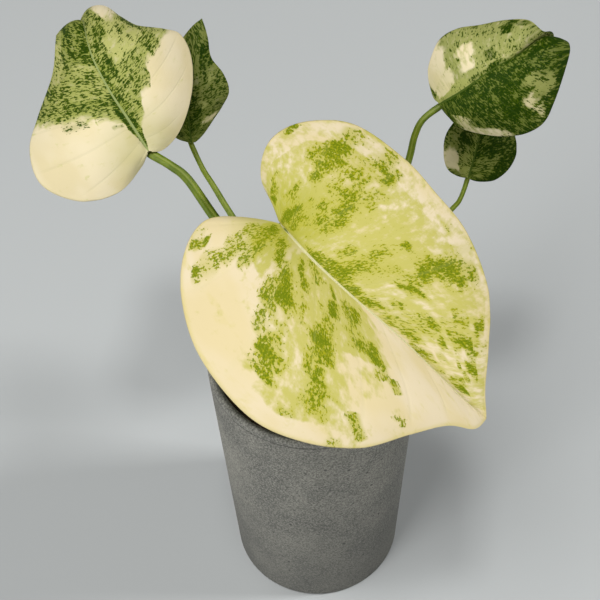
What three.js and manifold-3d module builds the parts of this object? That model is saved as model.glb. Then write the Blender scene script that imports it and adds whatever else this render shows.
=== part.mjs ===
// A potted legacy monstera: a slim concrete pot of soil with one short vine, whose five
// heart-shaped variegated leaves each stand on a long petiole.
// Millimetres, +Z up, the origin at the centre of the pot's underside, the front on the -Y side.
import * as THREE from "three";
import { mergeVertices } from "three/addons/utils/BufferGeometryUtils.js";
import Module from "manifold-3d";

const GAP = 0.3; // between pieces that touch

const POT_HEIGHT = 140;
const POT_TOP_RADIUS = 43;
const POT_BASE_RADIUS = 38;
const POT_WALL = 3.5;
const POT_FLOOR = 6;
const POT_EDGE = 1; // rounding of the rim and of the foot
const POT_SIDES = 72;

const SOIL_LEVEL = 128;
const SOIL_BUMP = 0.66; // how far the crumbs rise and sink
const SOIL_WAVES = [0.55, 0.47, 0.31, 0.39]; // how close the crumbs lie, in radians a millimetre
const SOIL_EDGE = 0.33; // share of the top's area over which the crumbs fade out to the wall
const SOIL_RINGS = 9;
const SOIL_SIDES = 48;

const STEM_RADIUS = 4.4;
const STEM_DEPTH = 16; // how deep the vine stands in the soil
const STEM_SPOT = [0, 6]; // where it stands, in x and y
const STEM_NODE_HEIGHTS = [134, 139, 144, 150, 156]; // one leaf scar ring each
const STEM_TOP = 160;
const STEM_LEAN = 0.6; // how far it bends aside halfway up
const STEM_TAPER = 0.25; // share of its radius that it loses above the soil
const STEM_CROWN = 0.07; // share of its length that is rounded off at the top
const STEM_BLUNT = 0.4; // share of its radius left at the very top
const STEM_STEPS = 44;
const STEM_SIDES = 16;
const NODE_SWELL = 0.6; // how far a node's ring stands out
const NODE_WIDTH = 0.9; // half its height
const SHEATH_FLARE = 1.3; // how much wider a petiole's sheath is than the petiole
const SHEATH_STEPS = 6;
const ROOT_RADIUS = [1.1, 0.6]; // of an aerial root's stub, at the vine and at its end
const ROOT_SIDES = 8;
const ROOT_STUBS = [
  [[0, 0, 136], [4, -5, 133.5], [6, -8.5, 131]],
  [[0, 0, 146], [-1, -5, 144.5], [-1.5, -7.5, 141.5]],
]; // each stub's route, in x and y from the vine's

const BLADE_THICKNESS = 0.9;
const MIDRIB_RIDGE = 1.1; // how far the midrib stands out under the blade
const RIDGE_START = [0.12, 0.28]; // shares of the blade's length over which it rises
const RIDGE_THINNING = 0.9; // share of its height that it loses by the tip
const DOCK = 1.5; // how far a petiole reaches under the base of its blade
const BLADE_COLUMNS = [0, 0.05, 0.16, 0.32, 0.5, 0.68, 0.85, 1]; // shares of a vein, midrib to margin
const PETIOLE_SIDES = 10;
const PETIOLE_STEPS = 16;
const PETIOLE_GROOVE = 0.2; // depth of the channel on its upper side, as a share of the radius

// Each leaf is set out by three curves: its midrib from base to tip, and its left and right
// margins from the notch at the base to the tip, as seen with the tip pointing away.
// face and faceTip say which way the blade looks at its base and tip, bulge how far the
// blade arches between midrib and margin, at base and tip, and sweep how far the side veins
// lean to the tip. Its petiole starts at the vine, at stemHeight, passes through the points of
// petiole and ends under the base of the blade, lower by drop where the blade is folded.
const LEAVES = [
  {
    name: "front",
    colour: "#cfc873",
    rows: 30,
    midrib: [
      [-10.5, 6, 212],
      [0.5, -7.5, 208],
      [14.5, -20, 201.5],
      [29.5, -30.5, 193],
      [43.5, -40.5, 183],
      [54, -47.5, 174.5],
      [62, -51.5, 168],
    ],
    left: [
      [-10.5, 9.5, 213.5],
      [-17, 23.5, 219],
      [-13.5, 36.5, 224.5],
      [-1, 43, 227],
      [17.5, 42, 226],
      [35.5, 29, 220.5],
      [46, 15.5, 216.5],
      [57, 3, 208],
      [64, -15.5, 196.5],
      [63, -33, 186],
      [61.5, -44, 176.5],
      [62, -51.5, 168],
    ],
    right: [
      [-14, 5.5, 212.5],
      [-25.5, 8, 214],
      [-38, 6, 214.5],
      [-45, -5, 210.5],
      [-46, -21, 204],
      [-39.5, -41, 196],
      [-23, -59.5, 186],
      [-4.5, -67, 180.5],
      [15.5, -68, 177],
      [33, -62.5, 176],
      [47, -57.5, 173.5],
      [57, -56, 168.5],
      [62, -51.5, 168],
    ],
    face: [0.12, -0.42, 0.9],
    faceTip: [0.12, -0.42, 0.9],
    bulge: { left: [0.22, 0.2], right: [0.25, 0.2] },
    sweep: { left: 0.12, right: 0.12 },
    stemHeight: 152,
    petiole: [
      [-1, 9, 165],
      [-3, 13, 176],
      [-6.5, 15.5, 190],
      [-10, 13, 202],
    ],
    radius: [2.5, 1.6],
    drop: -1,
  },
  {
    name: "left",
    colour: "#a7b06a",
    rows: 28,
    midrib: [
      [-60.5, 43.5, 214],
      [-67.5, 51.5, 223],
      [-74, 59.5, 230],
      [-80, 70.5, 235],
      [-83.5, 81.5, 236],
      [-87, 97, 233],
      [-90, 102, 227],
      [-93, 105, 217],
    ],
    left: [
      [-61.5, 42.5, 213],
      [-64.5, 40, 208],
      [-73.5, 34.5, 201],
      [-88, 33.5, 198],
      [-103, 40.5, 200],
      [-108, 53, 206],
      [-104.5, 63.5, 214],
      [-99, 79, 222],
      [-99, 96.5, 224.5],
      [-100, 105.5, 219],
      [-93, 105, 217],
    ],
    right: [
      [-59, 43.5, 213.5],
      [-55, 46, 212.5],
      [-50, 52, 214],
      [-46, 61, 218],
      [-44, 72.5, 223],
      [-45, 82.5, 228],
      [-48.5, 88.5, 232],
      [-54, 93.5, 230.5],
      [-64.5, 100, 226],
      [-73, 105.5, 227],
      [-79.5, 109.5, 229.5],
      [-87, 110.5, 227],
      [-93, 105, 217],
    ],
    face: [0.2, -0.4, 0.9],
    faceTip: [0.2, 0.2, 1],
    bulge: { left: [0.28, 0.31], right: [0.22, 0.48] },
    sweep: { left: 0.1, right: 0.1 },
    stemHeight: 147,
    petiole: [
      [-8, 3.5, 156],
      [-22, 15, 175],
      [-36.5, 28, 192.5],
      [-46, 37, 204.5],
      [-52.5, 40.5, 209],
    ],
    radius: [2.3, 1.6],
    drop: 1.2,
  },
  {
    name: "back",
    colour: "#5c7431",
    rows: 18,
    midrib: [
      [-47, 69.5, 192],
      [-47.5, 76, 201],
      [-45.5, 84.5, 212],
      [-42.5, 97.5, 224],
      [-41, 104.5, 227],
    ],
    left: [
      [-48, 70, 192.5],
      [-53, 72, 193],
      [-57.5, 75, 197],
      [-59, 80.5, 203],
      [-58, 87.5, 210],
      [-54.5, 93.5, 216],
      [-48.5, 99, 222],
      [-44.5, 101, 226],
      [-41, 104.5, 227],
    ],
    right: [
      [-45.5, 70, 192],
      [-42, 74.5, 193],
      [-38, 79.5, 196],
      [-34.5, 83.5, 199],
      [-31.5, 87, 204],
      [-33.5, 90.5, 210],
      [-38, 93.5, 216],
      [-39, 98, 222],
      [-41, 104.5, 227],
    ],
    face: [0.35, -0.6, 0.75],
    faceTip: [0.35, -0.6, 0.75],
    bulge: { left: [0.2, 0.2], right: [0.2, 0.2] },
    sweep: { left: 0.1, right: 0.1 },
    stemHeight: 137,
    petiole: [
      [-6.5, 11, 145],
      [-16, 25.5, 160],
      [-31, 44.5, 174.5],
      [-38.5, 55, 182],
      [-43, 62, 185.5],
    ],
    radius: [1.6, 1],
    drop: 0.7,
  },
  {
    name: "right",
    colour: "#6f8540",
    rows: 26,
    midrib: [
      [51.5, 60.5, 218],
      [58, 60.5, 223],
      [65, 62, 228],
      [72.5, 65, 232],
      [80.5, 69, 234],
      [92, 81, 232],
      [96, 84.5, 226],
      [98.5, 86.5, 218],
    ],
    left: [
      [50.5, 61.5, 218.5],
      [49, 65, 219.5],
      [48, 73.5, 222],
      [49.5, 78.5, 226],
      [53, 83.5, 230.5],
      [59.5, 85, 234],
      [68, 85.5, 235],
      [77.5, 85.5, 237],
      [86, 84, 238],
      [91, 80.5, 236],
      [97, 87, 229],
      [98.5, 86.5, 218],
    ],
    right: [
      [52.5, 59, 217],
      [55, 56.5, 215],
      [59, 54, 212],
      [66, 52.5, 210],
      [75.5, 51.5, 209],
      [84, 51.5, 210],
      [91, 54, 213],
      [95, 59.5, 218],
      [99, 68, 224],
      [102.5, 78, 228],
      [102, 85, 226],
      [98.5, 86.5, 218],
    ],
    face: [-0.15, -0.55, 0.8],
    faceTip: [-0.1, -0.3, 0.9],
    bulge: { left: [0.2, 0.3], right: [0.22, 0.4] },
    sweep: { left: 0.12, right: 0.12 },
    stemHeight: 142,
    petiole: [
      [7.5, 10, 150],
      [20, 25, 163],
      [33, 41.5, 180],
      [39.5, 50.5, 197],
      [42, 55, 207],
      [45.5, 58, 213],
    ],
    radius: [1.7, 1.2],
    drop: 0.55,
  },
  {
    name: "small",
    colour: "#4f6330",
    rows: 16,
    midrib: [
      [65.5, 59, 178],
      [67.5, 63.5, 184],
      [70, 70, 190],
      [71.5, 76, 194],
      [73, 82, 196],
    ],
    left: [
      [65, 59.5, 178],
      [61, 62, 177],
      [57.5, 65, 178],
      [56.5, 70.5, 180],
      [57, 75, 185],
      [59.5, 78, 189],
      [64, 80.5, 193],
      [68.5, 81.5, 195.5],
      [73, 82, 196],
    ],
    right: [
      [66.5, 58.5, 177.5],
      [71.5, 59, 176],
      [77, 60, 176],
      [82.5, 64, 178],
      [85.5, 68.5, 182],
      [85, 73, 187],
      [82, 77.5, 191],
      [78, 81, 194.5],
      [73, 82, 196],
    ],
    face: [0, -0.6, 0.75],
    faceTip: [0, -0.6, 0.75],
    bulge: { left: [0.2, 0.2], right: [0.2, 0.2] },
    sweep: { left: 0.1, right: 0.1 },
    stemHeight: 132.5,
    petiole: [
      [8.5, 9.5, 138],
      [25, 23, 147],
      [44, 41, 158],
      [58.5, 52, 166.5],
      [62.5, 55, 170.5],
    ],
    radius: [1.3, 0.9],
    drop: 0.4,
  },
];

const wasm = await Module();
wasm.setup();

// A closed geometry as a solid that can be joined to or cut from another.
function toSolid(geometry) {
  const bare = new THREE.BufferGeometry().setAttribute("position", geometry.getAttribute("position"));
  bare.setIndex(geometry.index);
  const merged = mergeVertices(bare, 1e-3);
  return new wasm.Manifold(
    new wasm.Mesh({
      numProp: 3,
      vertProperties: merged.attributes.position.array,
      triVerts: new Uint32Array(merged.index.array),
    }),
  );
}

function toGeometry(solid) {
  const { vertProperties, triVerts } = solid.getMesh();
  const geometry = new THREE.BufferGeometry();
  geometry.setAttribute("position", new THREE.BufferAttribute(vertProperties, 3));
  geometry.setIndex(new THREE.BufferAttribute(triVerts, 1));
  return geometry;
}

function fromFaces(points, faces) {
  const geometry = new THREE.BufferGeometry().setFromPoints(points);
  geometry.setIndex(faces.flat());
  return geometry;
}

const vector = ([x, y, z]) => new THREE.Vector3(x, y, z);
const curve = (points) => new THREE.CatmullRomCurve3(points.map(vector), false, "catmullrom", 0.5);

// A profile of [radius, height] pairs turned round the Z axis.
function turned(profile, sides) {
  const points = profile.map(([radius, height]) => new THREE.Vector2(radius, height));
  return new THREE.LatheGeometry(points, sides).rotateX(Math.PI / 2);
}

// A closed round rod along a path. radiusAt gives its radius at a share of the path's length,
// and groove sinks a channel of that share of the radius on the side that up points to.
function rod(path, steps, sides, radiusAt, groove = 0, up = null) {
  const frames = path.computeFrenetFrames(steps, false);
  const last = frames.normals.length - 1;
  const start = up ? Math.atan2(up.dot(frames.binormals[last]), up.dot(frames.normals[last])) : 0;
  const points = [];
  for (let i = 0; i <= steps; i++) {
    const centre = path.getPointAt(i / steps);
    for (let k = 0; k < sides; k++) {
      const angle = start + (2 * Math.PI * k) / sides;
      const radius = radiusAt(i / steps) * (k === 0 ? 1 - groove : 1);
      points.push(
        centre
          .clone()
          .addScaledVector(frames.normals[i], Math.cos(angle) * radius)
          .addScaledVector(frames.binormals[i], Math.sin(angle) * radius),
      );
    }
  }
  const faces = [];
  for (let i = 0; i < steps; i++) {
    for (let k = 0; k < sides; k++) {
      const next = (k + 1) % sides;
      const [a, b] = [i * sides + k, i * sides + next];
      faces.push([a, b, b + sides], [a, b + sides, a + sides]);
    }
  }
  const ends = [points.push(path.getPointAt(0)) - 1, points.push(path.getPointAt(1)) - 1];
  for (let k = 0; k < sides; k++) {
    const next = (k + 1) % sides;
    faces.push([ends[0], next, k], [ends[1], steps * sides + k, steps * sides + next]);
  }
  return fromFaces(points, faces);
}

function makePot() {
  const inner = POT_TOP_RADIUS - POT_WALL;
  const innerFoot = POT_BASE_RADIUS - POT_WALL;
  return turned(
    [
      [0, 0],
      [POT_BASE_RADIUS - POT_EDGE, 0],
      [POT_BASE_RADIUS, POT_EDGE],
      [POT_TOP_RADIUS, POT_HEIGHT - POT_EDGE],
      [POT_TOP_RADIUS - POT_EDGE, POT_HEIGHT],
      [inner + POT_EDGE, POT_HEIGHT],
      [inner, POT_HEIGHT - POT_EDGE],
      [innerFoot, POT_FLOOR],
      [0, POT_FLOOR],
    ],
    POT_SIDES,
  );
}

// The pot's inner radius at a height.
function innerRadius(height) {
  const slope = (POT_TOP_RADIUS - POT_BASE_RADIUS) / (POT_HEIGHT - POT_EDGE - POT_FLOOR);
  return POT_BASE_RADIUS - POT_WALL + (height - POT_FLOOR) * slope;
}

// The soil fills the pot to below its rim, with an uneven top and a plain hole for the vine.
function makeSoil() {
  const foot = POT_FLOOR + GAP;
  const edge = innerRadius(SOIL_LEVEL) - 2 * GAP;
  const profile = [
    [0, foot],
    [innerRadius(foot) - 2 * GAP, foot],
    [edge, SOIL_LEVEL],
  ];
  for (let i = SOIL_RINGS - 1; i >= 0; i--) profile.push([(edge * i) / SOIL_RINGS, SOIL_LEVEL]);
  const soil = turned(profile, SOIL_SIDES);
  const place = soil.getAttribute("position");
  for (let i = 0; i < place.count; i++) {
    const [x, y, z] = [place.getX(i), place.getY(i), place.getZ(i)];
    const inside = 1 - (x * x + y * y) / (edge * edge);
    if (z < SOIL_LEVEL - GAP || inside <= 0) continue;
    const coarse = Math.sin(SOIL_WAVES[0] * x + 1) * Math.cos(SOIL_WAVES[1] * y);
    const crumbs = coarse + Math.sin(SOIL_WAVES[2] * x - SOIL_WAVES[3] * y + 2);
    place.setZ(i, z + SOIL_BUMP * Math.min(1, inside / SOIL_EDGE) * crumbs);
  }
  const hole = new THREE.CylinderGeometry(
    STEM_RADIUS + GAP,
    STEM_RADIUS + GAP,
    2 * STEM_DEPTH,
    SOIL_SIDES / 2,
  ).rotateX(Math.PI / 2);
  hole.translate(STEM_SPOT[0], STEM_SPOT[1], SOIL_LEVEL);
  return toGeometry(toSolid(soil).subtract(toSolid(hole)));
}

// The vine: a short upright stem with a ring at each node, where the sheath of a petiole
// grows out of it, and two stubs of aerial root.
function makeStem() {
  const [x, y] = STEM_SPOT;
  const foot = SOIL_LEVEL - STEM_DEPTH + GAP;
  const path = curve([
    [x, y, foot],
    [x, y, SOIL_LEVEL],
    [x - STEM_LEAN, y + STEM_LEAN, (SOIL_LEVEL + STEM_TOP) / 2],
    [x, y + STEM_LEAN, STEM_TOP],
  ]);
  const length = STEM_TOP - foot;
  const radiusAt = (share) => {
    const height = foot + share * length;
    const rings = STEM_NODE_HEIGHTS.map((node) => Math.exp(-(((height - node) / NODE_WIDTH) ** 2)));
    const risen = Math.max(0, (height - SOIL_LEVEL) / (STEM_TOP - SOIL_LEVEL));
    const crown = Math.max(0, (share - 1) / STEM_CROWN + 1);
    const rounded = Math.max(STEM_BLUNT, Math.sqrt(1 - crown ** 2));
    return (STEM_RADIUS * (1 - STEM_TAPER * risen) + NODE_SWELL * Math.max(...rings)) * rounded;
  };
  let stem = toSolid(rod(path, STEM_STEPS, STEM_SIDES, radiusAt));
  for (const leaf of LEAVES) {
    const route = petioleRoute(leaf);
    const heading = route.getTangent(0);
    const meeting = route.getPoint(0).addScaledVector(heading, -GAP);
    const before = meeting.clone().addScaledVector(heading, -STEM_RADIUS);
    const root = new THREE.Vector3(x, y, leaf.stemHeight);
    const sheath = new THREE.QuadraticBezierCurve3(root, before, meeting);
    const width = leaf.radius[0];
    const widthAt = (share) => width * (SHEATH_FLARE - (SHEATH_FLARE - 1) * share);
    stem = stem.add(toSolid(rod(sheath, SHEATH_STEPS, PETIOLE_SIDES, widthAt)));
  }
  const rootWidth = (share) => ROOT_RADIUS[0] + (ROOT_RADIUS[1] - ROOT_RADIUS[0]) * share;
  for (const stub of ROOT_STUBS) {
    const route = curve(stub.map(([dx, dy, height]) => [x + dx, y + dy, height]));
    stem = stem.add(toSolid(rod(route, SHEATH_STEPS, ROOT_SIDES, rootWidth)));
  }
  return toGeometry(stem);
}

// A petiole's path. Its end lies flat under the base of the blade, against the midrib.
function petioleRoute(leaf) {
  const heading = curve(leaf.midrib).getTangent(0);
  const face = vector(leaf.face);
  const up = face.addScaledVector(heading, -face.dot(heading)).normalize();
  const below = BLADE_THICKNESS / 2 + GAP + leaf.radius[1] + leaf.drop;
  const end = vector(leaf.midrib[0]).addScaledVector(heading, DOCK).addScaledVector(up, -below);
  return curve([...leaf.petiole, end.toArray()]);
}

function makePetiole(leaf) {
  const [start, end] = leaf.radius;
  const radiusAt = (share) => start + (end - start) * share;
  const up = vector(leaf.face).normalize();
  return rod(petioleRoute(leaf), PETIOLE_STEPS, PETIOLE_SIDES, radiusAt, PETIOLE_GROOVE, up);
}

// A function that gives the blade's middle surface: along runs from the base (0) to the tip
// (1), across from the right margin (-1) over the midrib (0) to the left margin (1). A line
// of equal along is a side vein: it starts on the midrib, arches up and ends on the margin.
function bladeSurface(leaf) {
  const midrib = curve(leaf.midrib);
  const margins = { left: curve(leaf.left), right: curve(leaf.right) };
  const face = vector(leaf.face).normalize();
  const faceTip = vector(leaf.faceTip).normalize();
  return (along, across) => {
    const side = across < 0 ? "right" : "left";
    const start = midrib.getPoint(along ** 2);
    const heading = midrib.getTangent(along ** 2);
    const end = margins[side].getPoint(along);
    const up = face.clone().lerp(faceTip, along).normalize();
    const length = start.distanceTo(end);
    const [bulgeBase, bulgeTip] = leaf.bulge[side];
    const arch = (bulgeBase + (bulgeTip - bulgeBase) * along) * length;
    const lean = leaf.sweep[side] * 4 * along * (1 - along) * length;
    const middle = start
      .clone()
      .lerp(end, 0.5)
      .addScaledVector(up, arch)
      .addScaledVector(heading, lean);
    return new THREE.QuadraticBezierCurve3(start, middle, end).getPoint(Math.abs(across));
  };
}

// The midrib stands out below from just past the petiole's end, and thins out to the tip.
function ridgeAt(along) {
  return MIDRIB_RIDGE * THREE.MathUtils.smoothstep(along, ...RIDGE_START) * (1 - RIDGE_THINNING * along);
}

// The blade as a thin solid: the same grid of points above and below the middle surface,
// split into triangles alike, with the midrib standing out below.
function makeBlade(leaf) {
  const surface = bladeSurface(leaf);
  const columns = [...BLADE_COLUMNS.slice(1).reverse().map((share) => -share), ...BLADE_COLUMNS];
  const step = 0.01;
  const normalAt = (along, across) => {
    const before = surface(Math.max(0, along - step), across);
    const after = surface(Math.min(1, along + step), across);
    const right = surface(along, Math.max(-1, across - step));
    const left = surface(along, Math.min(1, across + step));
    return after.sub(before).cross(left.sub(right)).normalize();
  };
  const upper = [];
  const lower = [];
  for (let row = 0; row <= leaf.rows; row++) {
    const atTip = row === leaf.rows;
    const along = row / leaf.rows;
    for (const across of atTip ? [0] : columns) {
      const point = surface(along, across);
      const normal = normalAt(atTip ? 1 - 1 / leaf.rows : along, across);
      const ridge = across === 0 ? ridgeAt(along) : 0;
      upper.push(point.clone().addScaledVector(normal, BLADE_THICKNESS / 2));
      lower.push(point.clone().addScaledVector(normal, -BLADE_THICKNESS / 2 - ridge));
    }
  }
  const width = columns.length;
  const tip = leaf.rows * width;
  const faces = [];
  for (let row = 0; row < leaf.rows; row++) {
    for (let k = 0; k < width - 1; k++) {
      const a = row * width + k;
      if (row === leaf.rows - 1) faces.push([a, tip, a + 1]);
      else faces.push([a, a + width + 1, a + 1], [a, a + width, a + width + 1]);
    }
  }
  const rim = [];
  for (let k = 0; k < width; k++) rim.push(k);
  for (let row = 1; row < leaf.rows; row++) rim.push(row * width + width - 1);
  rim.push(tip);
  for (let row = leaf.rows - 1; row > 0; row--) rim.push(row * width);
  const under = upper.length;
  const solid = [];
  for (const [a, b, c] of faces) solid.push([a, b, c], [c + under, b + under, a + under]);
  rim.forEach((a, i) => {
    const b = rim[(i + 1) % rim.length];
    solid.push([a, b, b + under], [a, b + under, a + under]);
  });
  return fromFaces([...upper, ...lower], solid);
}

function piece(name, geometry, colour, roughness) {
  geometry.computeVertexNormals();
  const material = new THREE.MeshStandardMaterial({ color: colour, roughness, metalness: 0 });
  const mesh = new THREE.Mesh(geometry, material);
  mesh.name = name;
  return mesh;
}

const plant = new THREE.Group();
plant.add(piece("pot", makePot(), "#6e6e69", 0.9));
plant.add(piece("soil", makeSoil(), "#3a2c20", 0.95));
plant.add(piece("vine_stem", makeStem(), "#7d8a3c", 0.55));
for (const leaf of LEAVES) {
  plant.add(piece("petiole_" + leaf.name, makePetiole(leaf), "#69821f", 0.45));
  plant.add(piece("leaf_" + leaf.name, makeBlade(leaf), leaf.colour, 0.45));
}

export default plant;
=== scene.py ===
"""A potted legacy monstera, dressed on its solids: concrete pot, soil, vine, petioles and five blades."""

import math

import bmesh
import bpy
import numpy as np
from mathutils import Matrix, Vector, noise


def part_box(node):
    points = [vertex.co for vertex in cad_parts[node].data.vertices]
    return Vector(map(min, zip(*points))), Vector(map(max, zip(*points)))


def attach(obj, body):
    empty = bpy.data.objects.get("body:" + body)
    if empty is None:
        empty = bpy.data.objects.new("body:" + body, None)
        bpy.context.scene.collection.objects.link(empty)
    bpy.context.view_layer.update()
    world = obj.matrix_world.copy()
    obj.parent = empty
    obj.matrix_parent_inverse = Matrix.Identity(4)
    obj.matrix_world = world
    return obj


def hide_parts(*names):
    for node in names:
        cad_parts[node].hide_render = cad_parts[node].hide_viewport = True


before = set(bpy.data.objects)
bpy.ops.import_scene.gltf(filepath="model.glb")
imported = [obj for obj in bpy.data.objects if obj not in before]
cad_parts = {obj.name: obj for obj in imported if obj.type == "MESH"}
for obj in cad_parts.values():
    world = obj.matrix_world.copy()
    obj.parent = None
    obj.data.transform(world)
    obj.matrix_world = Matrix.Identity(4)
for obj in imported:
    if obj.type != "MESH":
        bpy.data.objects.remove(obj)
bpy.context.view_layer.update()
MM = 0.001


# The pot is a slim, slightly tapered vessel cast in grey concrete. Its foot and rim are softly
# rounded, and its skin has specks and pores. Painted shade darkens a thin ring just below the rim,
# where a groove would lie, the insides of the pores, and the pot towards its foot.
POT_SIDES = 160
POT_BASE = 38 * MM
POT_WALL = 3.5 * MM
POT_FLOOR = 6 * MM
POT_EDGE = 1 * MM
POT_INNER_EDGE = 1.4 * MM
POT_ROUNDING = 0.45 * MM
GROOVE_SHADE_HEIGHT = 0.978
POT_GREY = (0.21, 0.205, 0.175)
POT_DARK = (0.12, 0.12, 0.105)
POT_FOOT_SHADE = (0.07, 0.07, 0.062)
POT_SPECK_LIGHT = (0.33, 0.32, 0.28)
POT_SPECK_DARK = (0.05, 0.05, 0.045)
POT_GROOVE_SHADE = (0.03, 0.03, 0.026)
POT_PORE_SHADE = (0.03, 0.03, 0.028)


class Shade:
    """A socket in a material's nodes. Sums and products of it add the Math nodes for them."""

    def __init__(self, socket):
        self.socket = socket
        self.tree = socket.id_data

    def node(self, kind, settings=None, sockets=None, result=0):
        """Adds a node with these settings, then sets or links its sockets, and gives one output."""
        made = self.tree.nodes.new("ShaderNode" + kind)
        for name, value in (settings or {}).items():
            setattr(made, name, value)
        for name, value in (sockets or {}).items():
            if isinstance(value, Shade):
                self.tree.links.new(value.socket, made.inputs[name])
            else:
                made.inputs[name].default_value = value
        return Shade(made.outputs[result])

    def math(self, operation, *values):
        return self.node("Math", {"operation": operation}, dict(enumerate(values)))

    def __add__(self, other):
        return self.math("ADD", self, other)

    def __radd__(self, other):
        return self.math("ADD", other, self)

    def __sub__(self, other):
        return self.math("SUBTRACT", self, other)

    def __rsub__(self, other):
        return self.math("SUBTRACT", other, self)

    def __mul__(self, other):
        return self.math("MULTIPLY", self, other)

    def __rmul__(self, other):
        return self.math("MULTIPLY", other, self)

    def __truediv__(self, other):
        return self.math("DIVIDE", self, other)

    def __abs__(self):
        return self.math("ABSOLUTE", self)

    def ramp(self, low, high):
        """0 below low, 1 above high, with a smooth step between; falling if low is the higher."""
        sockets = {"Value": self, "From Min": low, "From Max": high}
        return self.node("MapRange", {"interpolation_type": "SMOOTHSTEP"}, sockets)

    def blend(self, first, second):
        """The first colour where this value is 0, and the second where it is 1."""
        colours = [c if isinstance(c, Shade) else (*c, 1) for c in (first, second)]
        return self.node("Mix", {"data_type": "RGBA"}, {0: self, 6: colours[0], 7: colours[1]}, 2)

    def noise(self, scale, detail=2.0, roughness=0.5):
        """Cloudy noise at these coordinates, about 0.3 to 0.7."""
        sockets = {"Vector": self, "Scale": scale, "Detail": detail, "Roughness": roughness}
        return self.node("TexNoise", None, sockets, "Fac")

    def height(self):
        """How high these coordinates lie."""
        return self.node("SeparateXYZ", None, {0: self}, "Z")

    def bump(self, strength, distance):
        """The direction of a surface that is raised where this value is high."""
        sockets = {"Height": self, "Strength": strength, "Distance": distance}
        return self.node("Bump", None, sockets, "Normal")


class Finish:
    """A new material, with its shader and the coordinates of the piece that wears it."""

    def __init__(self, name, **constants):
        self.material = bpy.data.materials.new(name)
        self.material.use_nodes = True
        tree = self.material.node_tree
        self.shader = tree.nodes["Principled BSDF"]
        for socket, value in constants.items():
            self.shader.inputs[socket.replace("_", " ")].default_value = value
        self.place = Shade(tree.nodes.new("ShaderNodeTexCoord").outputs["Object"])

    def attribute(self, name):
        """A value that the points of the piece carry."""
        return self.place.node("Attribute", {"attribute_name": name}, None, "Fac")

    def wear(self, **shades):
        """Links what varies over the surface: Base_Color, Roughness, Metallic or Normal."""
        for socket, shade in shades.items():
            target = self.shader.inputs[socket.replace("_", " ")]
            shade.tree.links.new(shade.socket, target)
        return self.material


def add_object(name, data):
    added = bpy.data.objects.new(name, data)
    bpy.context.scene.collection.objects.link(added)
    return added


def add_mesh(bm, name, material):
    mesh = bpy.data.meshes.new(name)
    bm.to_mesh(mesh)
    bm.free()
    mesh.materials.append(material)
    return add_object(name, mesh)


def finish_piece(bm, name, material, slot, *replaced):
    """Makes the bmesh a smooth piece on the plant's one body, standing for these CAD nodes."""
    piece = add_mesh(bm, name, material)
    piece.data.polygons.foreach_set("use_smooth", [True] * len(piece.data.polygons))
    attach(piece, "root")
    if replaced:
        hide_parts(*replaced)
    return piece


def concrete(pot_height):
    cast = Finish("concrete", Roughness=0.88)
    place = cast.place
    cloud = place.noise(38, 3, 0.6)
    speck = place.noise(1300, 3, 0.7)
    grain = place.noise(900, 3, 0.65)
    pore = place.node("TexVoronoi", None, {"Vector": place, "Scale": 190, "Randomness": 1}, "Distance")
    pit = pore.ramp(0.16, 0.08) * place.noise(75, 1).ramp(0.5, 0.56)
    height_share = place.height() / pot_height
    # Painted shade: a thin dark ring just below the rim stands in for the shade in a groove there.
    line = abs(height_share - GROOVE_SHADE_HEIGHT + cloud * 0.006).ramp(0.004, 0.0015)
    colour = cloud.ramp(0.3, 0.7).blend(POT_DARK, POT_GREY)
    colour = (speck.ramp(0.5, 0.6) * 0.55).blend(colour, POT_SPECK_LIGHT)
    colour = (speck.ramp(0.5, 0.38) * 0.6).blend(colour, POT_SPECK_DARK)
    # Painted shade: the pot grows darker towards its foot.
    colour = (height_share.ramp(0.75, 0) * 0.5).blend(colour, POT_FOOT_SHADE)
    colour = (line * 0.6).blend(colour, POT_GROOVE_SHADE)
    # Painted shade: the pores are darkened inside, as well as sunk by the bump below.
    colour = (pit * 0.8).blend(colour, POT_PORE_SHADE)
    relief = grain * 0.25 + speck * 0.2 - pit * 0.8
    return cast.wear(Base_Color=colour, Normal=relief.bump(0.5, 0.0004))


def turned(profile, sides, rounding=0):
    """A round shape: this line of (radius, height) points turned about the Z axis."""
    bm = bmesh.new()
    points = [bm.verts.new((radius, 0, height)) for radius, height in profile]
    for pair in zip(points, points[1:]):
        bm.edges.new(pair)
    if rounding:
        corners = [point for point in points[1:-1] if point.co.x > 0]
        bmesh.ops.bevel(
            bm, geom=corners, offset=rounding, segments=3, profile=0.5, affect="VERTICES", material=-1
        )
    bmesh.ops.spin(
        bm, geom=bm.verts[:] + bm.edges[:], axis=(0, 0, 1), angle=math.tau, steps=sides, use_merge=True
    )
    bmesh.ops.remove_doubles(bm, verts=bm.verts, dist=1e-6)
    bmesh.ops.recalc_face_normals(bm, faces=bm.faces)
    return bm


def make_pot():
    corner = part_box("pot")[1]
    top, height = corner.x, corner.z
    profile = [(0, 0), (POT_BASE - POT_EDGE, 0), (POT_BASE, POT_EDGE), (top, height - POT_EDGE)]
    profile += [(top - POT_EDGE, height), (top - POT_WALL + POT_INNER_EDGE, height)]
    profile += [(top - POT_WALL, height - POT_INNER_EDGE), (POT_BASE - POT_WALL, POT_FLOOR)]
    profile.append((0, POT_FLOOR))
    finish_piece(turned(profile, POT_SIDES, POT_ROUNDING), "pot_body", concrete(height), "pot", "pot")


make_pot()


# Potting soil: a dark bed of peat with crumbs, bark chips and a few grains of perlite on it. It was
# poured round the vine and fills the pot to 12 mm below the rim.
STEM_SPOT = (0, 6 * MM)
STEM_CLEAR = 5.5 * MM
SOIL_LEVEL = 128 * MM
SOIL_RADIUS = 38.3 * MM
SOIL_FOOT = 34.2 * MM
SOIL_SIDES = 120
SOIL_RINGS = 48
SOIL_BROWN = (0.022, 0.013, 0.008)
SOIL_TAN = (0.11, 0.06, 0.03)
BARK_BROWN = (0.13, 0.06, 0.028)
PERLITE_GREY = (0.55, 0.53, 0.48)
PERLITE_WHITE = (0.7, 0.68, 0.62)
CRUMBS = 1500
CHIPS = 70
PERLITE = 26


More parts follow.
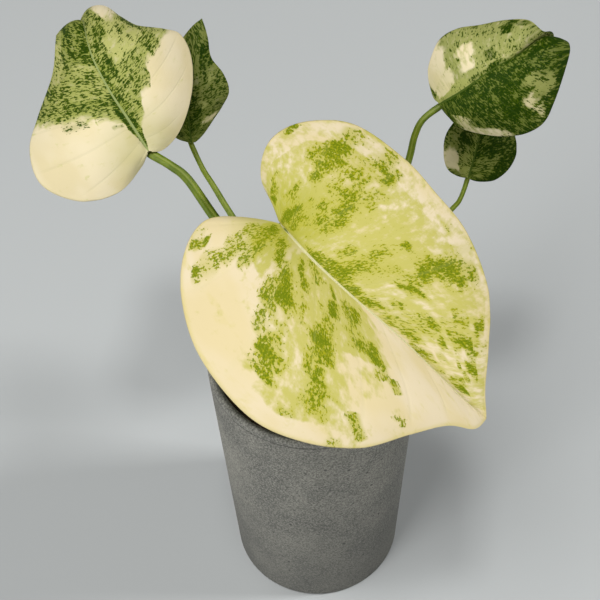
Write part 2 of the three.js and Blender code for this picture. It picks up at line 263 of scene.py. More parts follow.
def crumbly(name, dark, light, scale):
    """A matt, grainy material that varies between two colours from crumb to crumb."""
    grit = Finish(name, Roughness=0.95)
    patches = grit.place.noise(scale, 2)
    grains = grit.place.noise(3200, 3, 0.7)
    colour = (patches * 0.5 + grains * 0.5).ramp(0.4, 0.66).blend(dark, light)
    return grit.wear(Base_Color=colour, Normal=grains.bump(0.6, 0.0003))


def soil_height(x, y):
    """The bed's uneven top, which sinks a little towards the wall."""
    spot = Vector((x, y, 0))
    lumps = noise.noise(spot * 90) * 0.9 + noise.noise(spot * 260) * 0.5
    edge = max(0, math.hypot(x, y) / SOIL_RADIUS - 0.8) * 5
    return SOIL_LEVEL + lumps * MM * (1 - 0.6 * edge) - 0.7 * MM * edge


def make_soil():
    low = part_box("soil")[0].z
    profile = [(0, low), (SOIL_FOOT, low), (SOIL_RADIUS, SOIL_LEVEL)]
    profile += [(SOIL_RADIUS * i / SOIL_RINGS, SOIL_LEVEL) for i in range(SOIL_RINGS - 1, -1, -1)]
    bm = turned(profile, SOIL_SIDES)
    for vert in bm.verts:
        if vert.co.z > SOIL_LEVEL - 0.1 * MM:
            vert.co.z = soil_height(vert.co.x, vert.co.y)
    finish_piece(bm, "soil_bed", crumbly("peat", SOIL_BROWN, SOIL_TAN, 160), "soil", "soil")


def scatter(name, count, sizes, flatness, material, seed):
    """This many small irregular lumps pressed into the bed, with radii in this range in mm."""
    random = np.random.default_rng(seed)
    ball = bmesh.new()
    bmesh.ops.create_icosphere(ball, subdivisions=2, radius=1)
    corners = [vert.co.copy() for vert in ball.verts]
    faces = [[vert.index for vert in face.verts] for face in ball.faces]
    ball.free()
    bm = bmesh.new()
    for _ in range(count):
        size = random.uniform(*sizes) * MM
        reach = (SOIL_RADIUS - size * 1.5) * math.sqrt(random.random())
        turn = random.uniform(0, math.tau)
        x, y = reach * math.cos(turn), reach * math.sin(turn)
        if math.hypot(x - STEM_SPOT[0], y - STEM_SPOT[1]) < STEM_CLEAR + size:
            continue
        tilt = Matrix.Rotation(random.uniform(0, math.tau), 4, "Z")
        tilt = tilt @ Matrix.Rotation(random.uniform(-0.5, 0.5), 4, "X")
        shape = Matrix.Diagonal((size, size * random.uniform(0.55, 0.9), size * flatness, 1))
        place = Matrix.Translation((x, y, soil_height(x, y) + size * flatness * 0.35))
        offset = Vector(random.uniform(-9, 9, 3))
        whole = place @ tilt @ shape
        lump = [bm.verts.new(whole @ (co * (1 + 0.4 * noise.noise(co * 1.1 + offset)))) for co in corners]
        for face in faces:
            bm.faces.new([lump[index] for index in face])
    finish_piece(bm, name, material, "soil")


make_soil()
scatter("soil_crumbs", CRUMBS, (0.5, 1.5), 0.7, crumbly("crumbs", SOIL_BROWN, SOIL_TAN, 420), 3)
scatter("bark_chips", CHIPS, (1.6, 3.4), 0.34, crumbly("bark", BARK_BROWN, SOIL_TAN, 300), 5)
scatter("perlite", PERLITE, (0.6, 1.2), 0.8, crumbly("perlite", PERLITE_GREY, PERLITE_WHITE, 500), 7)


# The vine is a short green stem that stands in the soil. Each leaf grew from one of its nodes, where
# a brown ring and the sheath of the petiole are left, and two stubs of aerial root hang from it.
STEM_GREEN = (0.17, 0.22, 0.04)
STEM_BROWN = (0.12, 0.07, 0.03)
RING_HEIGHTS = (135, 140, 145, 151, 157)
STEM_VOXEL = 0.4 * MM


def vine_skin():
    skin = Finish("vine", Roughness=0.5)
    height = skin.place.height()
    wobble = skin.place.noise(300, 3) * 0.002
    grain = skin.place.noise(900, 3, 0.6)
    rings = sum(
        abs(height + wobble - ring_height * MM).ramp(1.1 * MM, 0.4 * MM) for ring_height in RING_HEIGHTS
    )
    buried = height.ramp(SOIL_LEVEL + 8 * MM, SOIL_LEVEL)
    brown = (rings * 0.7 + grain.ramp(0.5, 0.7) * 0.35 + buried * 0.5).ramp(0, 1)
    colour = brown.blend(STEM_GREEN, STEM_BROWN)
    return skin.wear(Base_Color=colour, Normal=grain.bump(0.4, 0.0003))


def make_vine():
    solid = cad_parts["vine_stem"]
    bm = bmesh.new()
    bm.from_mesh(solid.data)
    bm.transform(solid.matrix_world)
    bmesh.ops.remove_doubles(bm, verts=bm.verts, dist=1e-6)
    vine = finish_piece(bm, "vine", vine_skin(), "vine_stem", "vine_stem")
    remesh = vine.modifiers.new("even faces", "REMESH")
    remesh.mode = "VOXEL"
    remesh.voxel_size = STEM_VOXEL
    remesh.use_smooth_shade = True
    soften = vine.modifiers.new("soften", "SMOOTH")
    soften.factor = 0.5
    soften.iterations = 4


make_vine()


# Each leaf stands on a smooth green petiole, round below and channelled along its upper side. It
# tapers from the vine up to the base of its blade, where it runs into the midrib. The lengths of
# petioles and blades are in mm, and bent_grid scales them.
PETIOLE_STEPS = 90
PETIOLE_SIDES = 32
PETIOLE_GROOVE = 0.22
GROOVE_WIDTH = 0.4
SHEATH_DEPTH = 1.2
BLADE_THICKNESS = 0.9
BLADE_GAP = 0.3
MEETING_REACH = 1.5
END_REACH = 7
END_DEPTH = 0.5
PETIOLE_GREEN = (0.13, 0.175, 0.006)
PETIOLE_DEEP = (0.075, 0.115, 0.004)
PETIOLE_PALE = (0.24, 0.27, 0.05)
PETIOLE_FOOT = (0.2, 0.19, 0.05)
# The midrib and the margins of both halves run from the base to the tip. The faces are the ways the
# blade looks at its base and its tip. The bulges are how far each half arches there, and the sweep
# how far it leans forward between midrib and margin. The radius is the petiole's at its foot and
# at its top, and the drop how far its top hangs below the blade.
LEAVES = {
    "front": {
        "midrib": [
            (-10.5, 6, 212), (0.5, -7.5, 208), (14.5, -20, 201.5), (29.5, -30.5, 193),
            (43.5, -40.5, 183), (54, -47.5, 174.5), (62, -51.5, 168),
        ],
        "left": [
            (-10.5, 9.5, 213.5), (-17, 23.5, 219), (-13.5, 36.5, 224.5), (-1, 43, 227),
            (17.5, 42, 226), (35.5, 29, 220.5), (46, 15.5, 216.5), (57, 3, 208), (64, -15.5, 196.5),
            (63, -33, 186), (61.5, -44, 176.5), (62, -51.5, 168),
        ],
        "right": [
            (-14, 5.5, 212.5), (-25.5, 8, 214), (-38, 6, 214.5), (-45, -5, 210.5), (-46, -21, 204),
            (-39.5, -41, 196), (-23, -59.5, 186), (-4.5, -67, 180.5), (15.5, -68, 177),
            (33, -62.5, 176), (47, -57.5, 173.5), (57, -56, 168.5), (62, -51.5, 168),
        ],
        "face": (0.12, -0.42, 0.9),
        "face_tip": (0.12, -0.42, 0.9),
        "bulge": {"left": (0.22, 0.2), "right": (0.25, 0.2)},
        "sweep": 0.12,
        "petiole": [
            (-1, 9, 165), (-3, 13, 176), (-6.5, 15.5, 190), (-10, 13, 202),
        ],
        "radius": (2.5, 1.6),
        "drop": -1,
    },
    "left": {
        "midrib": [
            (-60.5, 43.5, 214), (-67.5, 51.5, 223), (-74, 59.5, 230), (-80, 70.5, 235),
            (-83.5, 81.5, 236), (-87, 97, 233), (-90, 102, 227), (-93, 105, 217),
        ],
        "left": [
            (-61.5, 42.5, 213), (-64.5, 40, 208), (-73.5, 34.5, 201), (-88, 33.5, 198),
            (-103, 40.5, 200), (-108, 53, 206), (-104.5, 63.5, 214), (-99, 79, 222),
            (-99, 96.5, 224.5), (-100, 105.5, 219), (-93, 105, 217),
        ],
        "right": [
            (-59, 43.5, 213.5), (-55, 46, 212.5), (-50, 52, 214), (-46, 61, 218), (-44, 72.5, 223),
            (-45, 82.5, 228), (-48.5, 88.5, 232), (-54, 93.5, 230.5), (-64.5, 100, 226),
            (-73, 105.5, 227), (-79.5, 109.5, 229.5), (-87, 110.5, 227), (-93, 105, 217),
        ],
        "face": (0.2, -0.4, 0.9),
        "face_tip": (0.2, 0.2, 1),
        "bulge": {"left": (0.28, 0.31), "right": (0.22, 0.48)},
        "sweep": 0.1,
        "petiole": [
            (-8, 3.5, 156), (-22, 15, 175), (-36.5, 28, 192.5), (-46, 37, 204.5), (-52.5, 40.5, 209),
        ],
        "radius": (2.3, 1.6),
        "drop": 1.2,
    },
    "back": {
        "midrib": [
            (-47, 69.5, 192), (-47.5, 76, 201), (-45.5, 84.5, 212), (-42.5, 97.5, 224),
            (-41, 104.5, 227),
        ],
        "left": [
            (-48, 70, 192.5), (-53, 72, 193), (-57.5, 75, 197), (-59, 80.5, 203), (-58, 87.5, 210),
            (-54.5, 93.5, 216), (-48.5, 99, 222), (-44.5, 101, 226), (-41, 104.5, 227),
        ],
        "right": [
            (-45.5, 70, 192), (-42, 74.5, 193), (-38, 79.5, 196), (-34.5, 83.5, 199), (-31.5, 87, 204),
            (-33.5, 90.5, 210), (-38, 93.5, 216), (-39, 98, 222), (-41, 104.5, 227),
        ],
        "face": (0.35, -0.6, 0.75),
        "face_tip": (0.35, -0.6, 0.75),
        "bulge": {"left": (0.2, 0.2), "right": (0.2, 0.2)},
        "sweep": 0.1,
        "petiole": [
            (-6.5, 11, 145), (-16, 25.5, 160), (-31, 44.5, 174.5), (-38.5, 55, 182), (-43, 62, 185.5),
        ],
        "radius": (1.6, 1),
        "drop": 0.7,
    },
    "right": {
        "midrib": [
            (51.5, 60.5, 218), (58, 60.5, 223), (65, 62, 228), (72.5, 65, 232), (80.5, 69, 234),
            (92, 81, 232), (96, 84.5, 226), (98.5, 86.5, 218),
        ],
        "left": [
            (50.5, 61.5, 218.5), (49, 65, 219.5), (48, 73.5, 222), (49.5, 78.5, 226),
            (53, 83.5, 230.5), (59.5, 85, 234), (68, 85.5, 235), (77.5, 85.5, 237), (86, 84, 238),
            (91, 80.5, 236), (97, 87, 229), (98.5, 86.5, 218),
        ],
        "right": [
            (52.5, 59, 217), (55, 56.5, 215), (59, 54, 212), (66, 52.5, 210), (75.5, 51.5, 209),
            (84, 51.5, 210), (91, 54, 213), (95, 59.5, 218), (99, 68, 224), (102.5, 78, 228),
            (102, 85, 226), (98.5, 86.5, 218),
        ],
        "face": (-0.15, -0.55, 0.8),
        "face_tip": (-0.1, -0.3, 0.9),
        "bulge": {"left": (0.2, 0.3), "right": (0.22, 0.4)},
        "sweep": 0.12,
        "petiole": [
            (7.5, 10, 150), (20, 25, 163), (33, 41.5, 180), (39.5, 50.5, 197), (42, 55, 207),
            (45.5, 58, 213),
        ],
        "radius": (1.7, 1.2),
        "drop": 0.55,
    },
    "small": {
        "midrib": [
            (65.5, 59, 178), (67.5, 63.5, 184), (70, 70, 190), (71.5, 76, 194), (73, 82, 196),
        ],
        "left": [
            (65, 59.5, 178), (61, 62, 177), (57.5, 65, 178), (56.5, 70.5, 180), (57, 75, 185),
            (59.5, 78, 189), (64, 80.5, 193), (68.5, 81.5, 195.5), (73, 82, 196),
        ],
        "right": [
            (66.5, 58.5, 177.5), (71.5, 59, 176), (77, 60, 176), (82.5, 64, 178), (85.5, 68.5, 182),
            (85, 73, 187), (82, 77.5, 191), (78, 81, 194.5), (73, 82, 196),
        ],
        "face": (0, -0.6, 0.75),
        "face_tip": (0, -0.6, 0.75),
        "bulge": {"left": (0.2, 0.2), "right": (0.2, 0.2)},
        "sweep": 0.1,
        "petiole": [
            (8.5, 9.5, 138), (25, 23, 147), (44, 41, 158), (58.5, 52, 166.5), (62.5, 55, 170.5),
        ],
        "radius": (1.3, 0.9),
        "drop": 0.4,
    },
}


def unit(vectors):
    return vectors / np.linalg.norm(vectors, axis=-1, keepdims=True)


def curve(points, shares):
    """Points and headings of a smooth curve through these points, at shares of their count."""
    given = np.array(points, float)
    padded = np.vstack([2 * given[0] - given[1], given, 2 * given[-1] - given[-2]])
    place = np.asarray(shares, float) * (len(given) - 1)
    first = np.clip(np.floor(place).astype(int), 0, len(given) - 2)
    w = (place - first)[..., None]
    before, here, there, after = (padded[first + k] for k in range(4))
    leave, arrive = (there - before) / 2, (after - here) / 2
    square = 3 * (there - here) - 2 * leave - arrive
    cube = 2 * (here - there) + leave + arrive
    position = here + leave * w + square * w**2 + cube * w**3
    return position, unit(leave + 2 * square * w + 3 * cube * w**2)


def bent_grid(columns, rows, surface):
    """A grid over -1 to 1 both ways, put on the spots that surface gives, with its attributes."""
    bm = bmesh.new()
    bmesh.ops.create_grid(bm, x_segments=columns, y_segments=rows, size=1)
    x, y = np.array([vert.co.xy for vert in bm.verts]).T
    spots, attributes = surface(x, y)
    for vert, spot in zip(bm.verts, (spots * MM).tolist()):
        vert.co = spot
    for name, values in attributes.items():
        layer = bm.verts.layers.float.new(name)
        for vert, value in zip(bm.verts, values.tolist()):
            vert[layer] = value
    bmesh.ops.remove_doubles(bm, verts=bm.verts, dist=1e-6)
    return bm


def petiole_route(leaf):
    """The petiole's points, from inside its sheath to the midrib."""
    base, heading = curve(leaf["midrib"], 0)
    face = np.array(leaf["face"], float)
    up = unit(face - heading * face.dot(heading))
    below = BLADE_THICKNESS / 2 + BLADE_GAP + leaf["radius"][1] + leaf["drop"]
    points = [np.array(point, float) for point in leaf["petiole"]]
    points.insert(0, points[0] - unit(points[1] - points[0]) * SHEATH_DEPTH)
    points.append(base + heading * MEETING_REACH - up * below)
    points.append(base + heading * END_REACH - up * (BLADE_THICKNESS / 2 + END_DEPTH))
    return points


def petiole_skin():
    skin = Finish("petiole", Roughness=0.5, Specular_IOR_Level=0.25)
    stretched = skin.place.node("VectorMath", {"operation": "MULTIPLY"}, {0: skin.place, 1: (1, 1, 0.15)})
    fibre = stretched.noise(1400, 2, 0.6)
    mottle = skin.place.noise(160, 3, 0.6)
    colour = mottle.ramp(0.35, 0.65).blend(PETIOLE_DEEP, PETIOLE_GREEN)
    colour = (fibre.ramp(0.55, 0.75) * 0.25).blend(colour, PETIOLE_PALE)
    colour = (skin.attribute("channel").ramp(0.4, 0.95) * 0.5).blend(colour, PETIOLE_PALE)
    colour = (skin.attribute("foot") * 0.5).blend(colour, PETIOLE_FOOT)
    return skin.wear(Base_Color=colour, Normal=fibre.bump(0.15, 0.0002))


def make_petiole(name, leaf, material):
    points = petiole_route(leaf)
    meeting = 1 - 1 / (len(points) - 1)
    wide, narrow = leaf["radius"]

    def surface(x, y):
        """Round the petiole with x, from its upper side, and along it with y."""
        share, angle = (y + 1) / 2, np.pi * x
        channel = np.exp(-((angle / GROOVE_WIDTH) ** 2))
        radius = wide + (narrow - wide) * np.minimum(share / meeting, 1)
        # It swells a little just before it meets the blade, and thins out under the midrib.
        radius *= 1 + 0.1 * np.exp(-(((share - meeting + 0.05) / 0.04) ** 2))
        radius *= 1 - 0.65 * np.clip((share - meeting) / (1 - meeting), 0, 1)
        radius *= 1 - PETIOLE_GROOVE * channel
        centre, heading = curve(points, share)
        side = unit(np.cross(heading, leaf["face"]))
        up = np.cross(side, heading)
        spots = centre + ((side.T * np.sin(angle) + up.T * np.cos(angle)) * radius).T
        return spots, {"channel": channel, "foot": np.clip(1 - share * 12, 0, 1)}

    bm = bent_grid(PETIOLE_SIDES, PETIOLE_STEPS, surface)
    bmesh.ops.holes_fill(bm, edges=[edge for edge in bm.edges if edge.is_boundary], sides=0)
    bmesh.ops.recalc_face_normals(bm, faces=bm.faces)
    finish_piece(bm, "stalk_" + name, material, "petiole", "petiole_" + name)


green_skin = petiole_skin()
for name, leaf in LEAVES.items():
    make_petiole(name, leaf, green_skin)


# The five blades are heart-shaped, thin and satin. Their tissue is cream where it holds no green,
# and in the green parts thousands of small flecks run along the side veins from midrib to margin.
SIDE_VEINS = 0.11
VEIN_DEPTH = 0.1
MIDRIB_DEPTH = 0.35
MIDRIB_RIDGE = 1.1
RIM_THICKNESS = 0.5
THICKEST = BLADE_THICKNESS + MIDRIB_RIDGE
BOX_MARGIN = 0.05
UNDERSIDE_GREEN = (0.42, 0.47, 0.22)
UNDERSIDE_SHARE = 0.4
CREAM = {
    "cream": (0.645, 0.55, 0.37),
    "cream_deep": (0.61, 0.51, 0.29),
    "yellow": (0.54, 0.46, 0.15),
    "pale": (0.43, 0.4, 0.088),
    "mid": (0.38, 0.36, 0.045),
    "lime": (0.31, 0.31, 0.02),
    "green": (0.29, 0.288, 0.008),
    "green_deep": (0.12, 0.165, 0.002),
    "vein": (0.5, 0.48, 0.22),
    "midrib": (0.56, 0.53, 0.29),
}
DARK = {
    "cream": (0.665, 0.58, 0.385),
    "cream_deep": (0.625, 0.535, 0.32),
    "yellow": (0.64, 0.56, 0.32),
    "pale": (0.42, 0.42, 0.13),
    "mid": (0.16, 0.2, 0.02),
    "lime": (0.17, 0.2, 0.015),
    "green": (0.055, 0.09, 0.001),
    "green_deep": (0.01, 0.034, 0.0003),
    "vein": (0.14, 0.2, 0.04),
    "midrib": (0.24, 0.28, 0.1),
}
# The back, right and small leaves: darker than the left leaf, partly their own deeper green and partly
# painted shade.
DEEP_AND_SHADED = {
    **DARK,
    "pale": (0.29, 0.31, 0.08),
    "mid": (0.06, 0.09, 0.004),
    "green": (0.045, 0.075, 0.001),
    "green_deep": (0.008, 0.028, 0.0003),
    "midrib": (0.05, 0.08, 0.01),
}
# A stroke runs from one place on its half of the blade to another. A place is a share of the way
# across, from midrib to margin, and a share of the way from base to tip, counted along the side
# veins. The last two numbers are half the stroke's width and how densely it is covered.
FRONT_LEFT = [
    (0, 0.48, 0.05, 0.48, 0.12, 0.8), (0, 0.46, 0.1, 0.49, 0.038, 0.9),
    (0.1, 0.485, 0.27, 0.49, 0.03, 0.7), (0.27, 0.475, 0.4, 0.465, 0.018, 0.45),
    (0.12, 0.43, 0.25, 0.425, 0.015, 0.6), (0.2, 0.51, 0.35, 0.515, 0.018, 0.4),
    (0.27, 0.575, 0.38, 0.595, 0.018, 0.8), (0.33, 0.565, 0.5, 0.575, 0.022, 0.7),
    (0.47, 0.55, 0.6, 0.555, 0.03, 0.8), (0.54, 0.53, 0.58, 0.525, 0.015, 0.8),
    (0.6, 0.555, 0.75, 0.565, 0.027, 0.85), (0.67, 0.59, 0.8, 0.58, 0.018, 0.85),
    (0.75, 0.57, 0.93, 0.59, 0.022, 0.8), (0.7, 0.535, 0.95, 0.55, 0.015, 0.4),
    (0.02, 0.6, 0.12, 0.62, 0.03, 0.6), (0.15, 0.62, 0.2, 0.625, 0.015, 0.8),
    (0.05, 0.7, 0.1, 0.71, 0.018, 0.9), (0.1, 0.69, 0.25, 0.68, 0.03, 0.6),
    (0.03, 0.665, 0.18, 0.66, 0.022, 0.5), (0.27, 0.67, 0.35, 0.67, 0.022, 0.7),
    (0.38, 0.665, 0.5, 0.67, 0.015, 0.5), (0.52, 0.66, 0.65, 0.665, 0.015, 0.55),
    (0.03, 0.735, 0.1, 0.73, 0.012, 0.5), (0.27, 0.73, 0.33, 0.725, 0.015, 0.9),
    (0.4, 0.705, 0.5, 0.71, 0.018, 0.7), (0.5, 0.715, 0.68, 0.73, 0.018, 0.95),
    (0.4, 0.735, 0.5, 0.735, 0.015, 0.6), (0.55, 0.745, 0.72, 0.75, 0.015, 0.7),
    (0.7, 0.74, 0.95, 0.74, 0.015, 0.4), (0.75, 0.69, 0.88, 0.69, 0.018, 0.85),
    (0.02, 0.77, 0.12, 0.76, 0.018, 0.6), (0.17, 0.765, 0.25, 0.765, 0.015, 0.7),
    (0.34, 0.78, 0.4, 0.78, 0.012, 0.8), (0.5, 0.785, 0.7, 0.79, 0.022, 0.9),
    (0.55, 0.8, 0.72, 0.81, 0.015, 0.8), (0.65, 0.825, 0.7, 0.825, 0.012, 0.7),
    (0.1, 0.865, 0.27, 0.87, 0.018, 1), (0.08, 0.84, 0.35, 0.83, 0.015, 0.7),
    (0.38, 0.82, 0.48, 0.825, 0.015, 0.7), (0.05, 0.82, 0.1, 0.815, 0.012, 0.5),
    (0.08, 0.32, 0.2, 0.34, 0.015, 0.4), (0.2, 0.345, 0.38, 0.35, 0.018, 0.65),
    (0.35, 0.335, 0.45, 0.32, 0.022, 0.8), (0.43, 0.31, 0.6, 0.31, 0.022, 0.65),
    (0.5, 0.34, 0.68, 0.345, 0.015, 0.5), (0.32, 0.295, 0.4, 0.285, 0.015, 1),
    (0.2, 0.32, 0.3, 0.31, 0.015, 0.6), (0.15, 0.3, 0.3, 0.3, 0.015, 0.5),
    (0.45, 0.275, 0.57, 0.275, 0.012, 0.5), (0.6, 0.315, 0.72, 0.31, 0.011, 0.6),
    (0.72, 0.325, 0.9, 0.345, 0.012, 0.8), (0.78, 0.31, 0.97, 0.32, 0.018, 0.7),
    (0.6, 0.285, 0.8, 0.29, 0.012, 0.5), (0.75, 0.27, 0.95, 0.275, 0.009, 0.3),
    (0.5, 0.22, 0.6, 0.235, 0.018, 0.7), (0.58, 0.24, 0.8, 0.25, 0.018, 0.75),
    (0.6, 0.225, 0.82, 0.23, 0.018, 0.8), (0.65, 0.205, 0.78, 0.205, 0.015, 0.6),
    (0.8, 0.25, 0.97, 0.255, 0.015, 0.7), (0.08, 0.13, 0.2, 0.2, 0.045, 1),
    (0.1, 0.16, 0.22, 0.2, 0.045, 1), (0.18, 0.2, 0.28, 0.225, 0.022, 0.9),
    (0.1, 0.22, 0.2, 0.26, 0.03, 0.7), (0.05, 0.2, 0.15, 0.27, 0.03, 0.6),
    (0.25, 0.25, 0.35, 0.25, 0.018, 0.5), (0.4, 0.19, 0.46, 0.185, 0.015, 0.8),
    (0.3, 0.165, 0.38, 0.165, 0.03, 0.5), (0.37, 0.085, 0.6, 0.07, 0.018, 1),
    (0.45, 0.105, 0.65, 0.095, 0.015, 0.6), (0.5, 0.475, 0.55, 0.475, 0.011, 0.8),
    (0.85, 0.49, 0.92, 0.49, 0.009, 0.5), (0.95, 0.155, 1, 0.155, 0.012, 0.8),
]
FRONT_RIGHT = [
    (0.13, 0.15, 0.2, 0.16, 0.06, 1), (0.2, 0.17, 0.45, 0.185, 0.045, 0.7),
    (0.3, 0.205, 0.55, 0.225, 0.018, 0.8), (0.3, 0.22, 0.5, 0.235, 0.012, 0.8),
    (0.45, 0.19, 0.65, 0.185, 0.022, 0.8), (0.6, 0.2, 0.72, 0.19, 0.015, 0.7),
    (0.7, 0.195, 0.9, 0.195, 0.018, 0.6), (0.65, 0.18, 0.85, 0.18, 0.015, 0.5),
    (0.3, 0.15, 0.5, 0.13, 0.03, 0.7), (0.5, 0.16, 0.65, 0.16, 0.018, 0.6),
    (0.83, 0.15, 0.97, 0.145, 0.011, 1), (0.88, 0.125, 0.98, 0.125, 0.018, 0.4),
    (0.16, 0.215, 0.24, 0.225, 0.015, 0.7), (0.1, 0.26, 0.22, 0.29, 0.03, 0.9),
    (0.12, 0.24, 0.2, 0.25, 0.022, 0.8), (0.16, 0.315, 0.25, 0.335, 0.018, 0.8),
    (0.2, 0.345, 0.32, 0.35, 0.027, 0.95), (0.3, 0.345, 0.4, 0.345, 0.03, 0.95),
    (0.36, 0.325, 0.48, 0.325, 0.027, 0.95), (0.45, 0.335, 0.5, 0.34, 0.018, 0.5),
    (0.5, 0.325, 0.62, 0.33, 0.015, 0.7), (0.53, 0.34, 0.6, 0.34, 0.012, 0.5),
    (0.55, 0.37, 0.7, 0.375, 0.015, 0.7), (0.58, 0.36, 0.78, 0.365, 0.018, 0.8),
    (0.62, 0.355, 0.7, 0.355, 0.018, 1), (0.7, 0.35, 0.78, 0.35, 0.012, 0.5),
    (0.43, 0.37, 0.52, 0.37, 0.009, 0.5), (0.08, 0.375, 0.17, 0.39, 0.015, 0.95),
    (0.15, 0.405, 0.22, 0.41, 0.012, 0.9), (0.25, 0.41, 0.38, 0.41, 0.007, 0.6),
    (0.03, 0.42, 0.05, 0.44, 0.03, 0.8), (0.06, 0.435, 0.1, 0.44, 0.007, 0.9),
    (0.05, 0.495, 0.1, 0.5, 0.009, 0.95), (0.12, 0.5, 0.2, 0.49, 0.015, 0.9),
    (0.2, 0.47, 0.3, 0.47, 0.015, 0.6), (0.25, 0.48, 0.3, 0.475, 0.012, 0.6),
    (0.31, 0.465, 0.38, 0.46, 0.021, 1), (0.36, 0.475, 0.48, 0.47, 0.015, 0.7),
    (0.38, 0.45, 0.5, 0.45, 0.018, 0.8), (0.48, 0.43, 0.6, 0.435, 0.012, 0.7),
    (0.53, 0.46, 0.62, 0.45, 0.012, 0.9), (0.6, 0.46, 0.82, 0.465, 0.018, 0.7),
    (0.7, 0.44, 0.8, 0.45, 0.015, 0.5), (0.65, 0.48, 0.7, 0.5, 0.009, 0.4),
    (0.75, 0.475, 0.85, 0.48, 0.009, 0.4), (0.09, 0.57, 0.15, 0.565, 0.015, 0.8),
    (0.1, 0.55, 0.3, 0.56, 0.022, 0.65), (0.14, 0.555, 0.2, 0.55, 0.012, 0.9),
    (0.2, 0.535, 0.3, 0.545, 0.015, 0.5), (0.23, 0.595, 0.35, 0.59, 0.015, 0.8),
    (0.3, 0.6, 0.45, 0.605, 0.018, 0.7), (0.43, 0.625, 0.55, 0.635, 0.012, 0.95),
    (0.73, 0.53, 0.93, 0.555, 0.012, 0.95), (0.74, 0.615, 0.8, 0.625, 0.009, 0.5),
    (0.8, 0.64, 0.88, 0.64, 0.006, 0.9), (0.82, 0.415, 0.88, 0.42, 0.015, 0.5),
    (0.92, 0.505, 1, 0.505, 0.009, 0.4),
]
